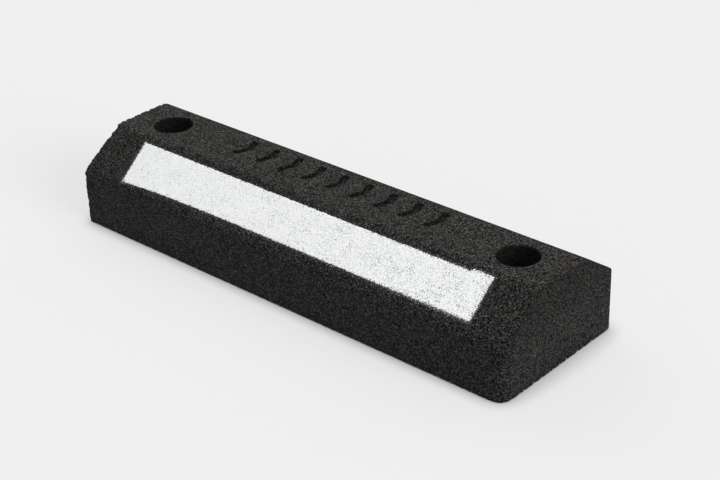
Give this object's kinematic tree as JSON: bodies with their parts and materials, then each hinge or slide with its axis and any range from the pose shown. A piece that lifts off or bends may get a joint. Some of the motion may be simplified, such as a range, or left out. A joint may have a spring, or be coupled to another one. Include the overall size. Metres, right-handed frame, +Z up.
{
  "type": "rubber speed bump segment",
  "caption": "Crumb rubber speed bump block with sloped faces, a painted stripe on one slope, a pressed chevron row and counterbored bolt holes with moulded-in steel washers.",
  "frame": {"origin": "middle of the footprint, on the ground", "axes": "+X along the block towards its right end, +Y from the striped front slope towards the back, +Z up"},
  "size_m": [0.5, 0.15, 0.086],
  "materials": {
    "crumb_rubber": "matte black bonded rubber granules",
    "road_paint": "matte white sprayed paint, broken up by the granules",
    "zinc_steel": "dull zinc plate"
  },
  "bodies": {
    "root": {"rubber_block": "crumb_rubber", "white_stripe": "road_paint", "left_washer": "zinc_steel", "right_washer": "zinc_steel"}
  },
  "joints": []
}
